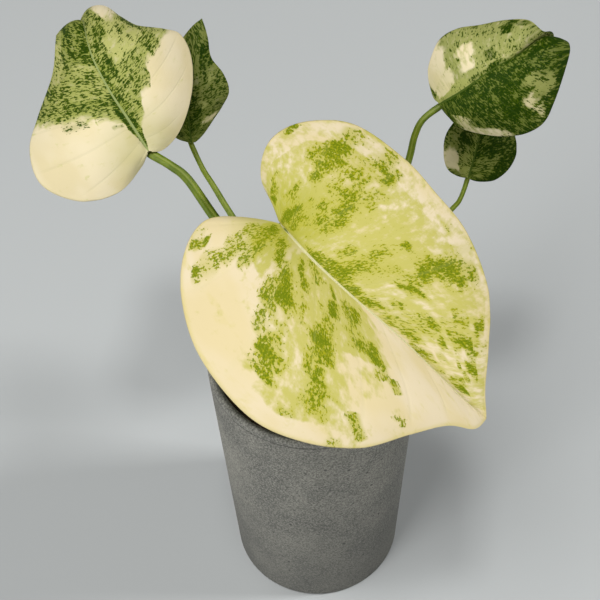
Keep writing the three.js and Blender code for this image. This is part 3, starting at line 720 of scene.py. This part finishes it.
# The rise is how far the side veins climb towards the tip, by the share across and by its square.
# The ground is how densely the tissue is covered where no stroke lies. Strokes of cream take that
# away, and pale ones wash over it. A low streak stretches the flecks along the veins, lime tints
# the base, and sparse is how many flecks the pale parts hold.
PATTERNS = {
    "front": {
        "grid": (240, 170),
        "colours": CREAM,
        "seed": 4,
        "streak": 0.5,
        "lime": 0.7,
        "sparse": 0.2,
        "left": {
            "rise": (0.24, -0.12),
            "ground": 0,
            "green": FRONT_LEFT,
            "pale": [
                (0, 0.35, 0.78, 0.35, 0.4, 0.6), (0, 0.35, 1.1, 0.35, 0.45, 0.3),
                (0.03, 0.48, 0.6, 0.48, 0.08, 0.85), (0.1, 0.3, 0.5, 0.3, 0.1, 0.85),
                (0, 0.66, 0.9, 0.66, 0.08, 0.5), (0, 0.86, 0.9, 0.86, 0.1, 0.5),
                (0.8, 0.135, 0.95, 0.135, 0.03, 0.4), (0, 0.15, 0.4, 0.2, 0.08, 0.7),
                (0.4, 0.08, 1, 0.07, 0.04, 0.45), (0.5, 0.23, 0.95, 0.24, 0.05, 0.4),
                (0.55, 0.32, 0.95, 0.32, 0.03, 0.45),
            ],
        },
        "right": {
            "rise": (0.24, -0.12),
            "ground": 0,
            "green": FRONT_RIGHT,
            "pale": [
                (0.02, 0.47, 0.35, 0.47, 0.16, 0.75), (0.3, 0.46, 0.85, 0.46, 0.06, 0.7),
                (0.3, 0.4, 0.85, 0.41, 0.06, 0.55), (0.35, 0.57, 0.6, 0.57, 0.03, 0.4),
                (0.8, 0.53, 1, 0.53, 0.03, 0.4), (0.05, 0.22, 0.4, 0.22, 0.07, 0.75),
                (0, 0.87, 0.3, 0.87, 0.04, 0.25), (0, 0.12, 0.3, 0.12, 0.06, 0.7),
            ],
        },
    },
    "left": {
        "grid": (200, 150),
        "colours": DARK,
        "seed": 5,
        "streak": 0.36,
        "lime": 0.35,
        "sparse": 0,
        "left": {
            "rise": (-0.05, 0.16),
            "ground": 0.64,
            "cream": [
                (0.07, 0.15, 0.3, 0.2, 0.22, 1), (0.3, 0.2, 1.2, 0.23, 0.235, 1),
            ],
            "green": [
                (0, 0.4, 0.05, 0.4, 0.14, 0.95), (0, 0.2, 0.025, 0.2, 0.2, 0.85),
                (0.05, 0.48, 0.5, 0.49, 0.04, 0.8), (0.5, 0.5, 1, 0.53, 0.035, 0.55),
                (0.1, 0.36, 0.2, 0.36, 0.01, 0.6), (0.4, 0.425, 0.6, 0.425, 0.015, 0.5),
                (0, 0.74, 0.8, 0.78, 0.12, 0.85),
            ],
            "pale": [
                (0, 0.26, 0.1, 0.26, 0.09, 0.9), (0.1, 0.65, 0.4, 0.65, 0.02, 0.6),
                (0.7, 0.66, 1, 0.66, 0.06, 0.6), (0.2, 0.1, 0.4, 0.1, 0.06, 0.4),
            ],
        },
        "right": {
            "rise": (-0.22, 0.3),
            "ground": 0.64,
            "cream": [
                (0.08, 0.1, 0.2, 0.15, 0.2, 1), (0.2, 0.18, 0.4, 0.2, 0.24, 1),
                (0.4, 0.2, 1.2, 0.2, 0.3, 1), (0.4, 0.82, 0.9, 0.82, 0.06, 0.8),
            ],
            "green": [
                (0, 0.5, 0.2, 0.5, 0.1, 0.6), (0, 0.6, 0.15, 0.6, 0.05, 0.95),
                (0, 0.3, 0.06, 0.3, 0.27, 0.9), (0.1, 0.75, 0.3, 0.75, 0.05, 0.8),
                (0.45, 0.69, 0.6, 0.69, 0.015, 0.7), (0.5, 0.565, 0.55, 0.565, 0.015, 0.7),
            ],
            "pale": [
                (0.06, 0.27, 0.17, 0.27, 0.09, 0.9), (0.2, 0.67, 0.6, 0.67, 0.08, 0.7),
                (0.7, 0.55, 0.85, 0.55, 0.03, 0.6),
            ],
        },
    },
    "back": {
        "grid": (120, 90),
        "colours": DEEP_AND_SHADED,
        "seed": 5,
        "streak": 0.36,
        "lime": 0.3,
        "sparse": 0,
        "left": {"rise": (0, 0), "ground": 0.72, "green": [(0, 0.5, 0.4, 0.5, 0.2, 0.95)], "pale": []},
        "right": {
            "rise": (-0.1, 0.05),
            "ground": 0.7,
            "cream": [(0.4, 0.34, 0.9, 0.34, 0.045, 0.7)],
            "green": [(0, 0.4, 0.3, 0.4, 0.15, 0.9), (0.3, 0.8, 0.9, 0.8, 0.08, 0.9)],
            "pale": [(0.2, 0.525, 0.4, 0.525, 0.03, 0.7), (0.55, 0.68, 0.7, 0.68, 0.02, 0.6)],
        },
    },
    "right": {
        "grid": (190, 150),
        "colours": DEEP_AND_SHADED,
        "seed": 6,
        "streak": 0.36,
        "lime": 0.3,
        "sparse": 0,
        "left": {
            "rise": (-0.25, 0.2),
            "ground": 0.62,
            "cream": [
                (0.15, 0.28, 0.5, 0.28, 0.12, 0.75), (0.5, 0.28, 1.2, 0.28, 0.12, 0.95),
                (0.25, 0.525, 0.6, 0.525, 0.045, 0.7),
            ],
            "green": [
                (0.5, 0.12, 1, 0.12, 0.04, 0.8), (0.2, 0.645, 0.4, 0.645, 0.03, 0.85),
                (0.6, 0.72, 0.95, 0.72, 0.025, 0.9), (0.8, 0.77, 0.95, 0.77, 0.03, 0.85),
                (0, 0.65, 0.1, 0.65, 0.05, 0.9),
            ],
            "pale": [
                (0, 0.3, 0.15, 0.3, 0.2, 1), (0, 0.07, 1, 0.07, 0.07, 0.7),
                (0.1, 0.62, 1, 0.62, 0.2, 0.6), (0.3, 0.4, 0.5, 0.4, 0.015, 0.6),
                (0.65, 0.41, 0.9, 0.41, 0.015, 0.6), (0.5, 0.5, 0.7, 0.5, 0.02, 0.6),
                (0.1, 0.8, 0.8, 0.85, 0.1, 0.4),
            ],
        },
        "right": {
            "rise": (-0.28, 0.25),
            "ground": 0.95,
            "cream": [
                (0.64, 0.64, 0.95, 0.615, 0.035, 0.6), (0.88, 0.37, 1.2, 0.37, 0.07, 0.7),
                (0.6, 0.27, 1.2, 0.27, 0.06, 0.6),
            ],
            "green": [(0.02, 0.37, 0.4, 0.4, 0.28, 1), (0.4, 0.56, 0.9, 0.56, 0.04, 1)],
            "pale": [
                (0.5, 0.72, 0.9, 0.72, 0.045, 0.85), (0.53, 0.49, 0.65, 0.49, 0.01, 0.6),
                (0, 0.82, 0.15, 0.82, 0.02, 0.6),
            ],
        },
    },
    "small": {
        "grid": (120, 90),
        "colours": DEEP_AND_SHADED,
        "seed": 5,
        "streak": 0.36,
        "lime": 0.3,
        "sparse": 0,
        "left": {
            "rise": (0, 0),
            "ground": 0.7,
            "cream": [(0.5, 0.34, 1.2, 0.34, 0.1, 0.8)],
            "green": [(0.1, 0.6, 0.6, 0.6, 0.05, 1), (0.15, 0.36, 0.25, 0.36, 0.02, 0.9)],
            "pale": [(0, 0.3, 0.5, 0.3, 0.2, 0.5)],
        },
        "right": {
            "rise": (0, 0),
            "ground": 0.95,
            "green": [(0, 0.61, 0.5, 0.61, 0.12, 1), (0.6, 0.37, 0.9, 0.37, 0.08, 1)],
            "pale": [(0.1, 0.39, 0.6, 0.39, 0.1, 0.5), (0.2, 0.215, 0.5, 0.215, 0.035, 0.7)],
        },
    },
}


def smooth(values, low, high):
    """0 below low, 1 above high, with a smooth step between; falling if low is the higher."""
    share = np.clip((values - low) / (high - low), 0, 1)
    return share * share * (3 - 2 * share)


def blade_point(leaf, along, across):
    """The blade's middle surface: along from base to tip, across from -1 (right) to 1 (left)."""
    start, heading = curve(leaf["midrib"], along**2)
    is_left = (across >= 0)[:, None]
    end = np.where(is_left, curve(leaf["left"], along)[0], curve(leaf["right"], along)[0])
    along = along[:, None]
    faces = unit(np.array([leaf["face"], leaf["face_tip"]]))
    up = unit(faces[0] * (1 - along) + faces[1] * along)
    length = np.linalg.norm(end - start, axis=1, keepdims=True)
    bulge = np.where(is_left, leaf["bulge"]["left"], leaf["bulge"]["right"])
    arch = bulge[:, :1] + (bulge[:, 1:] - bulge[:, :1]) * along
    lean = leaf["sweep"] * 4 * along * (1 - along)
    middle = (start + end) / 2 + (up * arch + heading * lean) * length
    w = np.abs(across)[:, None]
    return start * (1 - w) ** 2 + middle * 2 * w * (1 - w) + end * w**2


def blade_normal(leaf, along, across, step=0.01):
    """The way the middle surface looks. The halves end in one point, so the last part is left out."""
    along = np.minimum(along, 1 - 1 / 30)
    ahead = blade_point(leaf, np.minimum(along + step, 1), across)
    behind = blade_point(leaf, np.maximum(along - step, 0), across)
    left = blade_point(leaf, along, np.minimum(across + step, 1))
    right = blade_point(leaf, along, np.maximum(across - step, -1))
    return unit(np.cross(ahead - behind, left - right))


def paint(strokes, outward, vein):
    """How densely these strokes cover each point. Their edges are soft and their ends round."""
    cover = np.zeros(len(outward))
    for start, start_vein, end, end_vein, half_width, amount in strokes:
        line = start_vein + (end_vein - start_vein) * np.clip((outward - start) / (end - start), 0, 1)
        soft = min(0.8 * half_width, 0.03)
        turn = min(half_width, 0.04)
        beyond = np.maximum(start - outward, outward - end) * 0.7 + turn / 2
        outside = np.hypot((vein - line) / half_width, np.maximum(beyond, 0) / turn) - 1
        outside *= half_width
        cover = np.maximum(cover, amount * smooth(outside, soft, -soft))
    return cover


def blade_fields(leaf, pattern, along, across):
    """The blade's own coordinates and the cover of its colours, at every point of its grid."""
    outward = np.abs(across)
    is_left = across >= 0
    spots = [Vector((u * 7, v * 16, pattern["seed"])) for u, v in zip(across, along)]
    drift = np.array([noise.noise(spot) + 0.5 * noise.noise(spot * 2.7) for spot in spots])
    share, green, pale = np.zeros((3, len(across)))
    for side, here in (("left", is_left), ("right", ~is_left)):
        half = pattern[side]
        first, second = half["rise"]
        vein = along - (first * outward + second * outward**2) * 4 * along * (1 - along)
        strayed = outward + drift * 0.05, vein + drift * 0.022
        cream = paint(half.get("cream", []), *strayed)
        wash = paint(half["pale"], *strayed)
        flecked = paint(half["green"], outward + drift * 0.03, vein + drift * 0.01)
        covered = np.maximum(half["ground"] * (1 - cream) * (1 - 0.55 * wash), flecked)
        washed = np.maximum(wash, min(1, half["ground"] * 1.25)) * (1 - cream)
        share[here], green[here], pale[here] = vein[here], covered[here], washed[here]
    point = blade_point(leaf, along, across)
    margin = blade_point(leaf, along, np.where(is_left, 1.0, -1.0))
    reach = np.linalg.norm(point - curve(leaf["midrib"], along**2)[0], axis=1)
    midrib = curve(leaf["midrib"], np.linspace(0, 1, 60))[0]
    length = np.linalg.norm(np.diff(midrib, axis=0), axis=1).sum()
    # In mm: vein is the place along the midrib where a point's side vein starts, run the way from
    # the midrib (minus on the right), rim the way to the margin, and base the way to the leaf's
    # base. Rib is 1 at the edge of the midrib, which narrows towards the tip.
    return {
        "green": green,
        "pale": pale,
        "share": share,
        "vein": share * length,
        "run": np.where(is_left, reach, -reach),
        "rim": np.linalg.norm(point - margin, axis=1),
        "base": np.linalg.norm(point - midrib[0], axis=1),
        "rib": reach / (0.9 * (1 - 0.7 * along)) + 10 * outward,
    }


def blade_top(leaf, fields, along, across):
    """The upper face, sunk along the midrib and the side veins."""
    between = np.abs((fields["share"] / SIDE_VEINS + 0.5) % 1 - 0.5) * 2
    sunk = VEIN_DEPTH * (1 - between) ** 2 * smooth(fields["rim"], 0, 8)
    sunk *= smooth(np.abs(fields["run"]), 0, 5)
    channel = MIDRIB_DEPTH * np.exp(-((fields["run"] / 1.2) ** 2)) * (1 - 0.7 * along)
    channel *= smooth(along, 0.04, 0.14)
    lift = BLADE_THICKNESS / 2 - np.maximum(sunk, channel)
    # Close to the midrib the halves share one normal, so that their lifted points don't cross.
    near = np.exp(-((fields["run"] / 1.5) ** 2))[:, None]
    middle = blade_normal(leaf, along, np.zeros(len(along)))
    normal = unit(blade_normal(leaf, along, across) * (1 - near) + middle * near)
    return blade_point(leaf, along, across) + normal * lift[:, None]


def blade_thickness(leaf, fields, along):
    """Thickest along the midrib, thinner at the margin and where the blade is narrow."""
    midrib = curve(leaf["midrib"], along**2)[0]
    margins = [blade_point(leaf, along, np.full(len(along), side)) for side in (-1.0, 1.0)]
    narrow = np.min([np.linalg.norm(margin - midrib, axis=1) for margin in margins], axis=0)
    ridge = MIDRIB_RIDGE * smooth(along, 0.05, 0.2) * (1 - 0.9 * along)
    thick = RIM_THICKNESS + (BLADE_THICKNESS - RIM_THICKNESS) * smooth(fields["rim"], 0, 3)
    thick += ridge * np.exp(-((fields["run"] / 1.1) ** 2))
    return thick * (0.1 + 0.9 * smooth(narrow, 2, 14))


def blade_skin(name, pattern, under):
    skin = Finish(name, Specular_IOR_Level=0.03)
    fields = "green", "pale", "vein", "run", "rim", "base", "rib", "share"
    green, pale, vein, run, rim, base, rib, share = map(skin.attribute, fields)
    lengthwise = skin.place.node("CombineXYZ", None, {0: run * pattern["streak"], 1: vein}, "Vector")
    flat = skin.place.node("CombineXYZ", None, {0: run, 1: vein}, "Vector")
    fleck = lengthwise.noise(1.7, 3, 0.6)
    fibre = lengthwise.noise(0.55, 3, 0.6)
    fine = lengthwise.noise(2.6, 2, 0.6)
    cloud = flat.noise(0.06, 2, 0.5)
    patch = flat.noise(0.22, 3, 0.6)
    side_vein = share.math("PINGPONG", share, SIDE_VEINS / 2).ramp(0.0055, 0.0015)
    side_vein = side_vein * rim.ramp(0.5, 8) * rib.ramp(0.6, 2)

    colours = pattern["colours"]
    colour = cloud.ramp(0.38, 0.62).blend(colours["cream"], colours["cream_deep"])
    yellow = (rim.ramp(2.4, 0.4) * 0.45 + patch.ramp(0.5, 0.7) * 0.3).ramp(0, 1)
    colour = yellow.blend(colour, colours["yellow"])
    wash = (pale * 1.1 + (fibre - 0.5) * 1.7 + (patch - 0.5) * 1.2).ramp(0.15, 0.85)
    colour = (wash * 0.9).blend(colour, colours["pale"])
    lime = base.ramp(25, 4) * (1 - rim.ramp(2, 0) * 0.5) * pattern["lime"]
    colour = lime.blend(colour, colours["lime"])
    cover = green + pale * pattern["sparse"]
    some = cover.ramp(0, 0.2)
    colour = (cover.ramp(0.1, 0.95) * 0.8).blend(colour, colours["mid"])
    rough = cover + ((patch - 0.5) * 1.9 + (cloud - 0.5) * 0.9) * some
    specks = fleck * 0.75 + fibre * 0.25 + rough * 0.225
    specks = (specks - (1 - some) * 0.2 - 0.66).ramp(-0.02, 0.025)
    dense = (green * 0.8 + (patch - 0.5) * 1.4 + (fine - 0.5) * 3.4).ramp(0, 0.95)
    tissue = dense.blend(colours["green"], colours["green_deep"])
    colour = (specks * 0.96).blend(colour, tissue)
    colour = (side_vein * 0.06).blend(colour, colours["vein"])
    colour = rib.ramp(1.15, 0.7).blend(colour, colours["midrib"])
    if under:
        mixed = {0: UNDERSIDE_SHARE, 6: colour, 7: (*UNDERSIDE_GREEN, 1)}
        colour = skin.place.node("Mix", {"data_type": "RGBA"}, mixed, 2)
    relief = (fibre * 0.5 + fleck * 0.5) * 0.35 - side_vein * 0.35
    return skin.wear(Base_Color=colour, Roughness=0.62 - specks * 0.06, Normal=relief.bump(0.35, 0.0004))


def make_blade(name, leaf, pattern):
    low, high = np.array(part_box("leaf_" + name)) / MM

    def surface(x, y):
        """Across the blade with x, finer near the midrib, and from its base to its tip with y."""
        along, across = (y + 1) / 2, -np.sign(x) * np.abs(x) ** 1.25
        fields = blade_fields(leaf, pattern, along, across)
        spots = np.clip(blade_top(leaf, fields, along, across), low + BOX_MARGIN, high - BOX_MARGIN)
        return spots, {**fields, "thick": blade_thickness(leaf, fields, along) / THICKEST}

    bm = bent_grid(*pattern["grid"], surface)
    weights = bm.verts.layers.deform.new("thickness")
    thick = bm.verts.layers.float["thick"]
    for vert in bm.verts:
        vert[weights][0] = vert[thick]
    above = blade_skin(name + " above", pattern, False)
    blade = finish_piece(bm, "blade_" + name, above, "leaf_" + name, "leaf_" + name)
    blade.data.materials.append(blade_skin(name + " below", pattern, True))
    blade.vertex_groups.new(name="thickness")
    solid = blade.modifiers.new("thickness", "SOLIDIFY")
    solid.thickness = THICKEST * MM
    solid.offset = -1
    solid.vertex_group = "thickness"
    solid.material_offset = 1


for name, leaf in LEAVES.items():
    make_blade(name, leaf, PATTERNS[name])


# The plant stands alone on a plain pale floor in soft studio light: a broad key lamp high at the
# front left, smaller lamps at the right and overhead, and a low broad one that lights the pot.
FLOOR_PALE = (0.43, 0.446, 0.444)
FLOOR_HALF = 4
LAMP_TARGET = (0, 0, 0.12)
LAMP_DISTANCE = 2.6
AMBIENT_BLUE = (0.95, 0.98, 1)
AMBIENT_STRENGTH = 0.045


def make_floor():
    bm = bmesh.new()
    bmesh.ops.create_grid(bm, x_segments=1, y_segments=1, size=FLOOR_HALF)
    paper = Finish("floor", Base_Color=(*FLOOR_PALE, 1), Roughness=0.9).material
    floor = add_mesh(bm, "floor", paper)


def make_light(name, azimuth, elevation, size, power):
    """A square lamp turned to the leaves, from this direction round (+X is 0, +Y is 90) and up."""
    azimuth, elevation = math.radians(azimuth), math.radians(elevation)
    flat = math.cos(elevation)
    away = Vector((math.cos(azimuth) * flat, math.sin(azimuth) * flat, math.sin(elevation)))
    lamp = bpy.data.lights.new(name, "AREA")
    lamp.shape = "SQUARE"
    lamp.size = size
    lamp.energy = power
    holder = add_object(name, lamp)
    holder.location = Vector(LAMP_TARGET) + away * LAMP_DISTANCE
    holder.rotation_euler = away.to_track_quat("Z", "Y").to_euler()


def make_world():
    world = bpy.data.worlds.new("studio")
    world.use_nodes = True
    background = world.node_tree.nodes["Background"]
    background.inputs["Color"].default_value = (*AMBIENT_BLUE, 1)
    background.inputs["Strength"].default_value = AMBIENT_STRENGTH
    bpy.context.scene.world = world


make_floor()
make_light("key", azimuth=216, elevation=66, size=1.4, power=36)
make_light("side", azimuth=0, elevation=44, size=0.4, power=37)
make_light("top", azimuth=252, elevation=80, size=0.3, power=18)
make_light("front", azimuth=228, elevation=15, size=1.3, power=42)
make_world()
bpy.context.scene.view_settings.view_transform = "Standard"


# The camera stands in front of the plant and looks down on it, as in the picture. Its place, its
# angles in degrees and its lens in mm were worked out from the outline of the pot.
CAMERA_SPOT = (0, -0.3095, 0.5647)
CAMERA_PITCH = 51.53
CAMERA_YAW = -0.81
CAMERA_ROLL = -2.19
CAMERA_LENS = 78
CAMERA_SENSOR = 36


def make_camera():
    pitch, yaw, roll = (math.radians(angle) for angle in (CAMERA_PITCH, CAMERA_YAW, CAMERA_ROLL))
    ahead = Vector((math.sin(yaw) * math.cos(pitch), math.cos(yaw) * math.cos(pitch), -math.sin(pitch)))
    level = Vector((math.cos(yaw), -math.sin(yaw), 0))
    steep = level.cross(ahead)
    right = level * math.cos(roll) + steep * math.sin(roll)
    up = steep * math.cos(roll) - level * math.sin(roll)
    lens = bpy.data.cameras.new("camera")
    lens.sensor_width = CAMERA_SENSOR
    lens.lens = CAMERA_LENS
    camera = add_object("camera", lens)
    turn = Matrix((right, up, -ahead)).transposed().to_4x4()
    camera.matrix_world = Matrix.Translation(CAMERA_SPOT) @ turn
    bpy.context.scene.camera = camera


make_camera()
